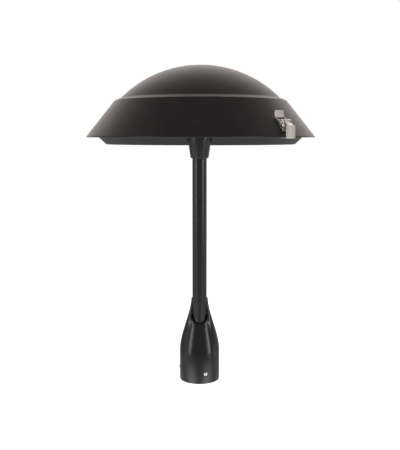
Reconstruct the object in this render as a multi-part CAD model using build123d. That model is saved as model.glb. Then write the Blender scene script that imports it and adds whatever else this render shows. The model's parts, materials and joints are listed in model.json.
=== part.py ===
from build123d import *
import os
from math import asin, atan2, cos, degrees, hypot, radians, sin, tan

# Side-stem street light, all sizes in millimetres.
# Origin: centre of the fitter's bottom face on the post axis. Z is up, -Y is the front.

# Post fitter
POST_D = 76.0
SOCKET_GAP = 1.0
SOCKET_WALL = 7.0
SOCKET_DEPTH = 84.0
SHOULDER_DROP = 17.0
FLARE_H = 125.0
FLARE_MID_SHARE = 0.496
FLARE_MID_OUT = 0.5356
FITTER_EDGE = 1.0
NECK_WALL = 2.25
WEB_T = 13.0
SEAT_LIP = 4.0
MOUTH_FACE_Y = -2.0
MOUTH_DROP = 20.0
MOUTH_LEAN = 24.5
MOUTH_KNEE_R = 15.0
MOUTH_EDGE = 2.5
THROAT_GAP = 3.5
THROAT_DROP = 38.0
SET_SCREW_R = 4.0
SET_SCREW_Z = 24.0
SET_SCREW_OUT = 2.6
SET_SCREW_AZ = (-72.5, 47.5, 167.5)
SET_SCREW_KEY_AF = 4.0
GRUB_AZ = (60.0, 120.0)
GRUB_R = 4.0
GRUB_SINK = 6.0

# Stem
STEM_R = 16.5
STEM_WALL = 3.0
STEM_LEN = 471.5
SLIP_FIT = 0.05

# Head: everything round in the head is centred on HEAD_Y
RIM_R = 296.5
BEAD_R = 1.6
SHEET_T = 2.0
SKIRT_SPREAD = 73.3
SKIRT_H = 93.4
SHELF_RUN = 16.2
SHELF_RISE = 6.6
DOME_H = 85.5

# Tray, the lower dish that the head is built on
FLANGE_CLEAR = 6.3
FLANGE_W = 22.2
FLANGE_T = 4.0
DISH_LEAN = 19.0
DISH_DEPTH = 17.8
DISH_WALL = 3.5
DISH_FLOOR_W = 56.0
SEAL_INSET = 1.5
SEAL_W = 4.5
SEAL_GAP = 0.5

# Collar where the stem enters the head
COLLAR_TOP_R = 27.0
COLLAR_PROUD = 5.0
COLLAR_LOW_R = 20.6
COLLAR_H = 46.5
COLLAR_CHAMFER = 2.0
COLLAR_CLEAR = 1.5
SCALLOP_WALL = 3.0
COLLAR_BOLT_R = 2.5
COLLAR_BOLT_WALL = 2.6
COLLAR_BOLT_HEAD_R = 4.5
COLLAR_BOLT_HEAD_H = 3.6
COLLAR_BOLT_REACH = 14.0
COLLAR_BOLT_AZ = (90.0, 200.0, -20.0)
COLLAR_GRUB_R = 3.0
COLLAR_GRUB_UP = 13.0
COLLAR_GRUB_AZ = (60.0, 120.0)

# Glass window and its retainer
GLASS_LAP = 11.0
GLASS_T = 5.0
GLASS_SEAL_T = 2.0
GLASS_LIP = 1.0
GLASS_CLEAR = 2.0
RETAINER_T = 2.0
RETAINER_LIP = 3.0
RETAINER_BOSS_R = 4.5
RETAINER_EDGE = 1.0
RETAINER_SCREWS = 8
M4_R = 2.0
M4_HEAD_R = 3.8
M4_HEAD_H = 2.4

# Gear plate and what it carries
GEAR_T = 3.0
GEAR_EDGE = 3.0
GEAR_POST_R = 6.0
GEAR_POST_H = 20.8
GEAR_POST_IN = 16.0
GEAR_POSTS = 6
GEAR_POST_AZ = 30.0
SINK_SIDE = 130.0
SINK_BASE_T = 5.0
SINK_FIN_H = 26.0
SINK_FIN_T = 2.5
SINK_FINS = 11
BOARD_R = 88.0
BOARD_T = 1.6
BOARD_EDGE = 8.0
BOARD_SCREWS = 4
LED_PITCHES = (26.0, 54.0)
LED_COUNTS = (6, 12)
LED_LENS_R = 7.0
LED_LENS_H = 5.0
REFLECTOR_GAP = 4.0
REFLECTOR_T = 1.0
REFLECTOR_DROP = 8.0
REFLECTOR_LIP = 8.0
DRIVER_L = 170.0
DRIVER_W = 62.0
DRIVER_H = 36.0
GEAR_GAP = 34.0
EAR_L = 14.0
EAR_T = 2.5
TERMINAL_L = 60.0
TERMINAL_W = 26.0
TERMINAL_H = 22.0
TERMINAL_POLES = 5
GROMMET_R = 12.0
GROMMET_WALL = 5.0
GROMMET_LIP = 2.5
GROMMET_LIP_T = 2.5

# Hinge at the back left of the head
HINGE_AZ = 135.0
HINGE_OUT = 7.0
HINGE_UP = 8.8
KNUCKLE_R = 5.0
HINGE_PIN_R = 2.5
HINGE_MID_W = 24.0
HINGE_SIDE_W = 14.0
SIDE_GAP = 0.3
PIN_HEAD_R = 4.0
PIN_HEAD_T = 1.6
STRAP_CLEAR = 5.0
STRAP_T = 3.5
STRAP_SIDE = 14.0
STRAP_SCREW_IN = 7.0
BEAD_CLEAR = 1.2
LEAF_W = 60.0
LEAF_S0 = 9.0
LEAF_RIVET_UP = 28.0
LEAF_LEN = 39.0
LEAF_T = 2.0
LEAF_EDGE = 7.0

# Draw latch at the front right of the head, placed up the skirt and out from it
LATCH_AZ = -45.0
PIVOT_UP = 25.1
PIVOT_OUT = 8.0
PIVOT_PIN_R = 2.5
CLAW_UP = 10.2
CLAW_OUT = 4.8
CLAW_PIN_R = 2.0
LATCH_T = 2.0
EAR_SPREAD = 28.0
ARM_T = 2.0
ARM_WALL = 2.9
TAB_UP = 30.5
TAB_LIFT = 2.6
TAB_H = 15.0
TAB_TILT = 38.2
TAB_CORNER = 4.0
CLAW_SIDE_GAP = 1.2
CLAW_WALL = 2.4
CLAW_BEND_UP = -0.7
CLAW_GAP = 0.6
CLAW_RIM_GAP = 1.0
CLAW_REACH = 4.0
BASE_UP = 24.0
BASE_DOWN = 12.0
RIVET_R = 2.0
RIVET_HEAD_R = 3.6
RIVET_HEAD_H = 1.2
RIVET_TAIL_T = 1.0
RIVET_EDGE = 7.5
RUN_FIT = 0.05

# Worked out from the sizes above
SOCKET_R = POST_D / 2 + SOCKET_GAP
FITTER_R = SOCKET_R + SOCKET_WALL
FITTER_STRAIGHT = SOCKET_DEPTH - SHOULDER_DROP
FITTER_TOP = FITTER_STRAIGHT + FLARE_H
NECK_TOP_R = STEM_R + SLIP_FIT + NECK_WALL
MOUTH_KNEE_Z = FITTER_TOP - MOUTH_DROP
THROAT_R = STEM_R + THROAT_GAP
STEM_BORE_R = STEM_R - STEM_WALL
FLANGE_Z = SOCKET_DEPTH + SEAT_LIP + STEM_LEN
FLANGE_TOP = FLANGE_Z + FLANGE_T
FLANGE_R = RIM_R - 2 * BEAD_R - FLANGE_CLEAR
HEAD_Y = FLANGE_R + COLLAR_PROUD - COLLAR_TOP_R
RIM_LOW_Z = FLANGE_Z
BEAD_Z = RIM_LOW_Z + BEAD_R
CORNER_R = RIM_R - SKIRT_SPREAD
CORNER_Z = RIM_LOW_Z + SKIRT_H
DOME_BASE_R = CORNER_R - SHELF_RUN
DOME_BASE_Z = CORNER_Z + SHELF_RISE
DOME_TOP_Z = DOME_BASE_Z + DOME_H
DISH_TOP_R = FLANGE_R - FLANGE_W
DISH_LOW_R = DISH_TOP_R - DISH_LEAN
WINDOW_R = DISH_LOW_R - DISH_FLOOR_W
DISH_LOW_Z = FLANGE_Z - DISH_DEPTH
DISH_FLOOR_Z = DISH_LOW_Z + DISH_WALL
RIM_SEAL_OUT_R = FLANGE_R - SEAL_INSET
RIM_SEAL_IN_R = RIM_SEAL_OUT_R - SEAL_W
COLLAR_LOW_Z = FLANGE_Z - COLLAR_H
COLLAR_BOLT_PITCH = STEM_R + SLIP_FIT + COLLAR_BOLT_WALL + COLLAR_BOLT_R
COLLAR_GRUB_Z = COLLAR_LOW_Z + COLLAR_GRUB_UP
GLASS_R = WINDOW_R + GLASS_LAP
RETAINER_BOSS_PITCH = GLASS_R + GLASS_CLEAR + RETAINER_BOSS_R
RETAINER_IN_R = WINDOW_R + RETAINER_LIP
RETAINER_OUT_R = RETAINER_BOSS_PITCH + RETAINER_BOSS_R + RETAINER_EDGE
GEAR_Z = DISH_FLOOR_Z + GEAR_POST_H
GEAR_POST_PITCH = DISH_LOW_R - GEAR_POST_R - GEAR_POST_IN
GEAR_R = GEAR_POST_PITCH + GEAR_POST_R + GEAR_EDGE
SINK_SCREW_AT = SINK_SIDE / 2 - 2 * M4_HEAD_R
BOARD_SCREW_PITCH = BOARD_R - BOARD_EDGE
REFLECTOR_IN_R = BOARD_R + REFLECTOR_GAP
REFLECTOR_OUT_R = WINDOW_R - 2 * REFLECTOR_T
DRIVER_X = -SINK_SIDE / 2 - GEAR_GAP - DRIVER_W / 2
TERMINAL_X = SINK_SIDE / 2 + GEAR_GAP + TERMINAL_W / 2
GROMMET_BORE_R = GROMMET_R - GROMMET_WALL
HINGE_R = RIM_R + HINGE_OUT
HINGE_Z = RIM_LOW_Z + HINGE_UP
STRAP_IN_R = DISH_TOP_R + STRAP_CLEAR
STRAP_W = HINGE_MID_W + 2 * STRAP_SIDE
STRAP_SCREW_R = STRAP_IN_R + STRAP_SCREW_IN
STRAP_SCREW_Y = STRAP_W / 2 - 2 * M4_HEAD_R - 1
LEAF_S1 = LEAF_S0 + LEAF_LEN
EAR_OUT = EAR_SPREAD / 2
ARM_IN = EAR_OUT + SIDE_GAP
CLAW_W = 2 * (EAR_OUT - LATCH_T - CLAW_SIDE_GAP)
ARM_ROUND_A = PIVOT_PIN_R + ARM_WALL
ARM_ROUND_B = CLAW_PIN_R + CLAW_WALL
EAR_ROUND = PIVOT_PIN_R + ARM_WALL
CLAW_KNUCKLE_R = CLAW_PIN_R + CLAW_WALL
CLAW_PLATE_R = RIM_R + CLAW_RIM_GAP + LATCH_T / 2
CLAW_REACH_R = FLANGE_R - CLAW_REACH
BOTTOM = (Align.CENTER, Align.CENTER, Align.MIN)
SKIRT_RUN = SKIRT_SPREAD - BEAD_R
SKIRT_FALL = SKIRT_H - BEAD_R
SKIRT_LEN = hypot(SKIRT_RUN, SKIRT_FALL)
# The skirt touches the bead's outer side, so it turns a little from the line between centres.
SKIRT_SLOPE = degrees(atan2(SKIRT_FALL, SKIRT_RUN)) - degrees(asin(BEAD_R / SKIRT_LEN))
SHELF_SLOPE = degrees(atan2(DOME_BASE_Z - CORNER_Z, CORNER_R - DOME_BASE_R))
DOME_RISE = DOME_TOP_Z - DOME_BASE_Z
DOME_R = (DOME_BASE_R**2 + DOME_RISE**2) / (2 * DOME_RISE)
DOME_SLOPE = degrees(asin(DOME_BASE_R / DOME_R))
SKIRT_N = (sin(radians(SKIRT_SLOPE)), cos(radians(SKIRT_SLOPE)))
SKIRT_UP = (-cos(radians(SKIRT_SLOPE)), sin(radians(SKIRT_SLOPE)))


def rod(r, z0, z1, x=0.0, y=0.0):
    """Upright cylinder of radius r from z0 to z1."""
    return Pos(x, y, z0) * Cylinder(r, z1 - z0, align=BOTTOM)


def ring(r_out, r_in, z0, z1):
    """Upright ring between two radii."""
    return rod(r_out, z0, z1) - rod(r_in, z0 - 1, z1 + 1)


def outline(points):
    """Closed face in the XZ plane through (radius, height) points."""
    return make_face(Polyline(*[(r, 0, z) for r, z in points], close=True))


def spin(points):
    """Solid of revolution about Z from (radius, height) points."""
    return revolve(outline(points), Axis.Z)


def slab(face, y0, y1):
    """Face of the XZ plane made solid from y0 to y1."""
    return Pos(0, y0, 0) * extrude(face, y1 - y0, dir=(0, 1, 0))


def cross_rod(r, point, y0, y1):
    """Cylinder along Y through the (radius, height) point."""
    return slab(Pos(point[0], 0, point[1]) * Rot(90, 0, 0) * Circle(r), y0, y1)


def tapered_link(r_a, a, r_b, b):
    """Face of two discs and the band between their outer tangents."""
    across = hypot(b[0] - a[0], b[1] - a[1])
    lean = asin((r_a - r_b) / across)
    along = atan2(b[1] - a[1], b[0] - a[0])
    side = [along + radians(90) - lean, along - radians(90) + lean]
    ends = [(a, r_a, side[0]), (b, r_b, side[0]), (b, r_b, side[1]), (a, r_a, side[1])]
    band = outline([(p[0] + r * cos(t), p[1] + r * sin(t)) for p, r, t in ends])
    discs = [Pos(p[0], 0, p[1]) * Rot(90, 0, 0) * Circle(r) for p, r in ((a, r_a), (b, r_b))]
    return band + discs[0] + discs[1]


def at_head(shape, azimuth=0.0):
    """Shape drawn round the Z axis moved onto the head's axis and turned."""
    return Pos(0, HEAD_Y, 0) * Rot(0, 0, azimuth) * shape


def all_round(shape, count, start=0.0):
    """Copies of the shape evenly round the Z axis."""
    return [Rot(0, 0, start + 360 * i / count) * shape for i in range(count)]


def fuse(shapes):
    """All shapes in one."""
    total = shapes[0]
    for shape in shapes[1:]:
        total = total + shape
    return total


def inset(point, slope_a, slope_b, depth):
    """Point moved under the corner between two slopes by the sheet's depth."""
    middle = radians((slope_a + slope_b) / 2)
    reach = depth / cos(radians((slope_a - slope_b) / 2))
    return (point[0] - reach * sin(middle), point[1] - reach * cos(middle))


def on_skirt(origin, up, out):
    """Point reached from the origin by going up the skirt and out from it."""
    r = origin[0] + up * SKIRT_UP[0] + out * SKIRT_N[0]
    z = origin[1] + up * SKIRT_UP[1] + out * SKIRT_N[1]
    return (r, z)


def skirt_distance(point):
    """How far the point stands off the skirt's outer face."""
    return (point[0] - CORNER_R) * SKIRT_N[0] + (point[1] - CORNER_Z) * SKIRT_N[1]


def canopy_block(depth):
    """Solid under the canopy's sheet, the sheet's outer face moved in by depth."""
    corner = inset((CORNER_R, CORNER_Z), SHELF_SLOPE, SKIRT_SLOPE, depth)
    base = inset((DOME_BASE_R, DOME_BASE_Z), DOME_SLOPE, SHELF_SLOPE, depth)
    rim = on_skirt((RIM_R - BEAD_R, BEAD_Z), 0, BEAD_R - depth)
    half = asin(base[0] / (DOME_R - depth)) / 2
    centre_z = DOME_TOP_Z - DOME_R
    mid = ((DOME_R - depth) * sin(half), 0, centre_z + (DOME_R - depth) * cos(half))
    top = (0, 0, DOME_TOP_Z - depth)
    arc = ThreePointArc(top, mid, (base[0], 0, base[1]))
    rest = Polyline(
        (base[0], 0, base[1]),
        (corner[0], 0, corner[1]),
        (rim[0], 0, rim[1]),
        (0, 0, rim[1]),
        top,
    )
    return revolve(make_face(arc + rest), Axis.Z)


def flare_block():
    """Solid inside the fitter's outer face."""
    mid_r = NECK_TOP_R + (FITTER_R - NECK_TOP_R) * FLARE_MID_OUT
    mid_z = FITTER_STRAIGHT + FLARE_H * FLARE_MID_SHARE
    low = (FITTER_R, 0, FITTER_STRAIGHT)
    mid = (mid_r, 0, mid_z)
    top = (NECK_TOP_R, 0, FITTER_TOP)
    curve = Spline(low, mid, top, tangents=((0, 0, 1), (-0.05, 0, 1)))
    rest = Polyline(top, (0, 0, FITTER_TOP), (0, 0, 0), (FITTER_R, 0, 0), low)
    return revolve(make_face(curve + rest), Axis.Z)


def mouth_block():
    """Waste in front of the fitter's mouth, whose face slants down from a rounded knee."""
    far_y = -FITTER_R - THROAT_GAP
    low_z = MOUTH_KNEE_Z - (MOUTH_FACE_Y - far_y) / tan(radians(MOUTH_LEAN))
    side = make_face(Polyline(
        (0, far_y, FITTER_TOP + 1),
        (0, far_y, low_z),
        (0, MOUTH_FACE_Y, MOUTH_KNEE_Z),
        (0, MOUTH_FACE_Y, FITTER_TOP + 1),
        close=True,
    ))
    knee = side.vertices().sort_by_distance((0, MOUTH_FACE_Y, MOUTH_KNEE_Z))[0]
    return extrude(fillet(knee, MOUTH_KNEE_R), FITTER_R, dir=(1, 0, 0), both=True)


def round_mouth(body):
    """Body with the curved outer edges of its mouth rounded."""
    ahead = [edge for edge in body.edges() if (edge @ 0.5).Y < MOUTH_FACE_Y + 0.01]
    return fillet([edge for edge in ahead if edge.geom_type != GeomType.LINE], MOUTH_EDGE)


def post_fitter():
    body = flare_block()
    body = chamfer(body.edges().sort_by(Axis.Z)[0], FITTER_EDGE)
    web_top = SOCKET_DEPTH + WEB_T
    throat = rod(THROAT_R, web_top, FITTER_TOP - THROAT_DROP)
    bore = rod(STEM_R + SLIP_FIT, SOCKET_DEPTH + SEAT_LIP, FITTER_TOP + 1)
    body = round_mouth(body - mouth_block())
    body = body - rod(SOCKET_R, -1, SOCKET_DEPTH) - throat - bore
    body = body - rod(STEM_BORE_R, 0, FITTER_TOP)
    for azimuth in SET_SCREW_AZ:
        hole = Rot(0, 0, azimuth) * radial_rod(SET_SCREW_R, SET_SCREW_Z, 0, FITTER_R + 5)
        body = body - hole
    for azimuth in GRUB_AZ:
        hole = radial_rod(GRUB_R, grub_height(), STEM_R, FITTER_R + 5)
        body = body - Rot(0, 0, azimuth) * hole
    return body


def radial_rod(r, z, x0, x1):
    """Cylinder along X at height z."""
    return Pos(x0, 0, z) * Rot(0, 90, 0) * Cylinder(r, x1 - x0, align=BOTTOM)


def grub_height():
    return SOCKET_DEPTH + SEAT_LIP + (WEB_T - SEAT_LIP) / 2


def set_screw(r, z, x0, x1, key_af):
    """Headless screw along X with a hexagon key hole in its outer end."""
    key = RegularPolygon(key_af / 2, 6, major_radius=False)
    hole = extrude(Pos(x1, 0, z) * Rot(0, 90, 0) * key, -key_af)
    screw = radial_rod(r, z, x0, x1)
    screw = chamfer(screw.edges().sort_by(Axis.X)[-1], r * 0.15)
    return screw - hole


def fitter_set_screws():
    tip_r = SOCKET_R + SLIP_FIT
    one = set_screw(SET_SCREW_R, SET_SCREW_Z, tip_r, FITTER_R + SET_SCREW_OUT, SET_SCREW_KEY_AF)
    return [Rot(0, 0, azimuth) * one for azimuth in SET_SCREW_AZ]


def stem_grub_screws():
    one = set_screw(GRUB_R, grub_height(), STEM_R, FITTER_R - GRUB_SINK, GRUB_R)
    return [Rot(0, 0, azimuth) * one for azimuth in GRUB_AZ]


def stem_tube():
    low = SOCKET_DEPTH + SEAT_LIP
    return rod(STEM_R, low, FLANGE_Z) - rod(STEM_BORE_R, low - 1, FLANGE_Z + 1)


def collar_bolt():
    """One bolt from the tray's top plate down into the collar."""
    shank = rod(COLLAR_BOLT_R, FLANGE_Z - COLLAR_BOLT_REACH, FLANGE_TOP, COLLAR_BOLT_PITCH)
    top = FLANGE_TOP + COLLAR_BOLT_HEAD_H
    head = rod(COLLAR_BOLT_HEAD_R, FLANGE_TOP, top, COLLAR_BOLT_PITCH)
    key = RegularPolygon(COLLAR_BOLT_R * 0.8, 6, major_radius=False)
    hole = extrude(Pos(COLLAR_BOLT_PITCH, 0, top) * key, -COLLAR_BOLT_HEAD_H * 0.6)
    return shank + head - hole


def collar_bolts():
    return [Rot(0, 0, azimuth) * collar_bolt() for azimuth in COLLAR_BOLT_AZ]


def arm_collar():
    bore = STEM_R + SLIP_FIT
    body = spin([
        (bore, FLANGE_Z),
        (COLLAR_TOP_R, FLANGE_Z),
        (COLLAR_LOW_R, COLLAR_LOW_Z + COLLAR_CHAMFER),
        (COLLAR_LOW_R - COLLAR_CHAMFER, COLLAR_LOW_Z),
        (bore, COLLAR_LOW_Z),
    ])
    bolt_hole = rod(COLLAR_BOLT_R, FLANGE_Z - COLLAR_BOLT_REACH, FLANGE_Z, COLLAR_BOLT_PITCH)
    for azimuth in COLLAR_BOLT_AZ:
        body = body - Rot(0, 0, azimuth) * bolt_hole
    for azimuth in COLLAR_GRUB_AZ:
        hole = radial_rod(COLLAR_GRUB_R, COLLAR_GRUB_Z, STEM_R, COLLAR_TOP_R)
        body = body - Rot(0, 0, azimuth) * hole
    return body


def collar_lock_screws():
    one = set_screw(COLLAR_GRUB_R, COLLAR_GRUB_Z, STEM_R, COLLAR_LOW_R, COLLAR_GRUB_R)
    return [Rot(0, 0, azimuth) * one for azimuth in COLLAR_GRUB_AZ]


def dish_line(z):
    """Outer radius of the dish's sloping wall at a height."""
    return DISH_LOW_R + (z - DISH_LOW_Z) * (DISH_TOP_R - DISH_LOW_R) / DISH_DEPTH


def tray_housing():
    body = spin([
        (FLANGE_R, FLANGE_TOP),
        (FLANGE_R, FLANGE_Z),
        (DISH_TOP_R, FLANGE_Z),
        (DISH_LOW_R, DISH_LOW_Z),
        (WINDOW_R, DISH_LOW_Z),
        (WINDOW_R, DISH_FLOOR_Z),
        (dish_line(DISH_FLOOR_Z) - DISH_WALL, DISH_FLOOR_Z),
        (dish_line(FLANGE_TOP) - DISH_WALL, FLANGE_TOP),
    ])
    block = spin([
        (0, FLANGE_TOP),
        (FLANGE_R, FLANGE_TOP),
        (FLANGE_R, FLANGE_Z),
        (DISH_TOP_R, FLANGE_Z),
        (DISH_LOW_R, DISH_LOW_Z),
        (0, DISH_LOW_Z),
    ])
    scallop_r = COLLAR_TOP_R + COLLAR_CLEAR
    pocket = Pos(0, -HEAD_Y, 0) * rod(scallop_r + SCALLOP_WALL, DISH_LOW_Z, FLANGE_TOP)
    body = body + (block & pocket)
    body = body - Pos(0, -HEAD_Y, 0) * rod(scallop_r, DISH_LOW_Z - 1, FLANGE_Z)
    body = body - Pos(0, -HEAD_Y, 0) * rod(GROMMET_R, FLANGE_Z - 1, FLANGE_TOP + 1)
    boss_top = DISH_FLOOR_Z + GLASS_SEAL_T + GLASS_T
    boss = rod(RETAINER_BOSS_R, DISH_FLOOR_Z, boss_top, RETAINER_BOSS_PITCH)
    boss_hole = rod(M4_R, DISH_FLOOR_Z + 1, boss_top, RETAINER_BOSS_PITCH)
    step = 180 / RETAINER_SCREWS
    body = fuse([body] + all_round(boss, RETAINER_SCREWS, step))
    for hole in all_round(boss_hole, RETAINER_SCREWS, step):
        body = body - hole
    post = rod(GEAR_POST_R, DISH_FLOOR_Z, GEAR_Z, GEAR_POST_PITCH)
    post_hole = rod(M4_R, GEAR_Z - M4_R * 4, GEAR_Z, GEAR_POST_PITCH)
    body = fuse([body] + all_round(post, GEAR_POSTS, GEAR_POST_AZ))
    for hole in all_round(post_hole, GEAR_POSTS, GEAR_POST_AZ):
        body = body - hole
    for y in (-STRAP_SCREW_Y, STRAP_SCREW_Y):
        hole = rod(M4_R, FLANGE_Z, FLANGE_TOP, STRAP_SCREW_R, y)
        body = body - Rot(0, 0, HINGE_AZ) * hole
    body = at_head(body)
    bolt_hole = rod(COLLAR_BOLT_R, FLANGE_Z, FLANGE_TOP, COLLAR_BOLT_PITCH)
    for azimuth in COLLAR_BOLT_AZ:
        body = body - Rot(0, 0, azimuth) * bolt_hole
    return body


def rim_gasket():
    inner = canopy_block(SHEET_T + SEAL_GAP)
    stock = ring(RIM_SEAL_OUT_R, RIM_SEAL_IN_R, FLANGE_TOP, CORNER_Z)
    return at_head(stock & inner)


def glass_gasket():
    z = DISH_FLOOR_Z
    return at_head(ring(GLASS_R, WINDOW_R + GLASS_LIP, z, z + GLASS_SEAL_T))


def lens_glass():
    z = DISH_FLOOR_Z + GLASS_SEAL_T
    return at_head(rod(GLASS_R, z, z + GLASS_T))


def cap_screw(r, head_r, head_h, z, reach, x, y=0.0):
    """Round-head screw standing upright, z at the underside of its head."""
    screw = rod(r, z - reach, z, x, y) + rod(head_r, z, z + head_h, x, y)
    slot = Pos(x, y, z + head_h) * Box(head_r * 1.2, head_r * 0.3, head_h)
    cross = Pos(x, y, z + head_h) * Box(head_r * 0.3, head_r * 1.2, head_h)
    return screw - slot - cross


def glass_retainer():
    z = DISH_FLOOR_Z + GLASS_SEAL_T + GLASS_T
    body = ring(RETAINER_OUT_R, RETAINER_IN_R, z, z + RETAINER_T)
    hole = rod(M4_R, z, z + RETAINER_T, RETAINER_BOSS_PITCH)
    for one in all_round(hole, RETAINER_SCREWS, 180 / RETAINER_SCREWS):
        body = body - one
    return at_head(body)


def retainer_screws():
    z = DISH_FLOOR_Z + GLASS_SEAL_T + GLASS_T + RETAINER_T
    one = cap_screw(M4_R, M4_HEAD_R, M4_HEAD_H, z, M4_R * 4, RETAINER_BOSS_PITCH)
    return [at_head(s) for s in all_round(one, RETAINER_SCREWS, 180 / RETAINER_SCREWS)]


def gear_screw_spots():
    """Centres of the small screws that hold parts on top of the gear plate."""
    sink = [(x, y) for x in (-SINK_SCREW_AT, SINK_SCREW_AT) for y in (-SINK_SCREW_AT, SINK_SCREW_AT)]
    driver_y = DRIVER_L / 2 + EAR_L / 2
    driver = [(DRIVER_X, -driver_y), (DRIVER_X, driver_y)]
    terminal_y = TERMINAL_L / 2 + EAR_L / 2
    terminal = [(TERMINAL_X, -terminal_y), (TERMINAL_X, terminal_y)]
    return {"sink": sink, "driver": driver, "terminal": terminal}


def gear_plate():
    body = rod(GEAR_R, GEAR_Z, GEAR_Z + GEAR_T)
    hole = rod(M4_R, GEAR_Z, GEAR_Z + GEAR_T, GEAR_POST_PITCH)
    for one in all_round(hole, GEAR_POSTS, GEAR_POST_AZ):
        body = body - one
    for spots in gear_screw_spots().values():
        for x, y in spots:
            body = body - rod(M4_R, GEAR_Z, GEAR_Z + GEAR_T, x, y)
    for one in all_round(rod(M4_R, GEAR_Z, GEAR_Z + GEAR_T, BOARD_SCREW_PITCH), BOARD_SCREWS):
        body = body - one
    return at_head(body)


def gear_plate_screws():
    one = cap_screw(M4_R, M4_HEAD_R, M4_HEAD_H, GEAR_Z + GEAR_T, GEAR_T + M4_R * 4, GEAR_POST_PITCH)
    return [at_head(s) for s in all_round(one, GEAR_POSTS, GEAR_POST_AZ)]


def heat_sink():
    z = GEAR_Z + GEAR_T
    body = Pos(0, 0, z) * Box(SINK_SIDE, SINK_SIDE, SINK_BASE_T, align=BOTTOM)
    fin_w = SINK_SIDE - 4 * M4_HEAD_R - 4
    pitch = fin_w / (SINK_FINS - 1)
    for i in range(SINK_FINS):
        x = -fin_w / 2 + i * pitch
        fin = Box(SINK_FIN_T, SINK_SIDE, SINK_FIN_H + 0.5, align=BOTTOM)
        if abs(x) + SINK_FIN_T > SINK_SCREW_AT - M4_HEAD_R:
            fin = Box(SINK_FIN_T, SINK_SIDE - 8 * M4_HEAD_R, SINK_FIN_H + 0.5, align=BOTTOM)
        body = body + Pos(x, 0, z + SINK_BASE_T - 0.5) * fin
    for x, y in gear_screw_spots()["sink"]:
        body = body - rod(M4_R, z, z + SINK_BASE_T, x, y)
    return at_head(body)


def gear_part_screws():
    """Screws that hold the heat sink, driver and terminal block on the gear plate."""
    z = GEAR_Z + GEAR_T
    thick = {"sink": SINK_BASE_T, "driver": EAR_T, "terminal": EAR_T}
    screws = []
    for name, spots in gear_screw_spots().items():
        for x, y in spots:
            seat = z + thick[name]
            screws.append(at_head(cap_screw(M4_R, M4_HEAD_R, M4_HEAD_H, seat, SINK_BASE_T, x, y)))
    return screws


def led_board():
    body = rod(BOARD_R, GEAR_Z - BOARD_T, GEAR_Z)
    hole = rod(M4_R, GEAR_Z - BOARD_T, GEAR_Z, BOARD_SCREW_PITCH)
    for one in all_round(hole, BOARD_SCREWS):
        body = body - one
    return at_head(body)


def led_board_screws():
    z = -(GEAR_Z - BOARD_T)
    one = cap_screw(M4_R, M4_HEAD_R, M4_HEAD_H, z, BOARD_T + GEAR_T, BOARD_SCREW_PITCH)
    return [at_head(Rot(180, 0, 0) * s) for s in all_round(one, BOARD_SCREWS)]


def led_lenses():
    z = GEAR_Z - BOARD_T
    ball_r = (LED_LENS_R**2 + LED_LENS_H**2) / (2 * LED_LENS_H)
    lens = Pos(0, 0, z - LED_LENS_H + ball_r) * Sphere(ball_r) & rod(LED_LENS_R, z - LED_LENS_H, z)
    lenses = []
    for pitch, count in zip(LED_PITCHES, LED_COUNTS):
        lenses += [at_head(s) for s in all_round(Pos(pitch, 0, 0) * lens, count, 15)]
    return lenses


def reflector():
    z = GEAR_Z
    t = REFLECTOR_T
    return at_head(spin([
        (REFLECTOR_IN_R, z),
        (REFLECTOR_IN_R + REFLECTOR_LIP, z),
        (REFLECTOR_OUT_R + t, z - REFLECTOR_DROP),
        (REFLECTOR_OUT_R, z - REFLECTOR_DROP - t),
        (REFLECTOR_IN_R + REFLECTOR_LIP - t, z - t),
        (REFLECTOR_IN_R, z - t),
    ]))


def eared_box(length, width, height, x):
    """Box along Y on the gear plate with a screw ear at each end."""
    z = GEAR_Z + GEAR_T
    body = Pos(x, 0, z) * Box(width, length, height, align=BOTTOM)
    body = fillet(body.edges().filter_by(Axis.Z), 3)
    ears = Pos(x, 0, z) * Box(width * 0.5, length + 2 * EAR_L, EAR_T, align=BOTTOM)
    body = body + ears
    for side in (-1, 1):
        y = side * (length / 2 + EAR_L / 2)
        body = body - rod(M4_R, z, z + EAR_T, x, y)
    return body


def driver_box():
    return at_head(eared_box(DRIVER_L, DRIVER_W, DRIVER_H, DRIVER_X))


def terminal_block():
    body = eared_box(TERMINAL_L, TERMINAL_W, TERMINAL_H, TERMINAL_X)
    top = GEAR_Z + GEAR_T + TERMINAL_H
    pitch = TERMINAL_L / TERMINAL_POLES
    for i in range(TERMINAL_POLES):
        y = (i - (TERMINAL_POLES - 1) / 2) * pitch
        body = body - rod(pitch * 0.3, top - TERMINAL_H * 0.4, top + 1, TERMINAL_X, y)
        wire = Pos(TERMINAL_X - TERMINAL_W / 2, y, top - TERMINAL_H * 0.65) * Rot(0, 90, 0)
        body = body - wire * Cylinder(pitch * 0.28, TERMINAL_W * 0.5)
    return at_head(body)


def cable_grommet():
    top = FLANGE_TOP + GROMMET_LIP_T
    body = rod(GROMMET_R, FLANGE_Z, FLANGE_TOP) + rod(GROMMET_R + GROMMET_LIP, FLANGE_TOP, top)
    return body - rod(GROMMET_BORE_R, FLANGE_Z - 1, top + 1)


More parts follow.
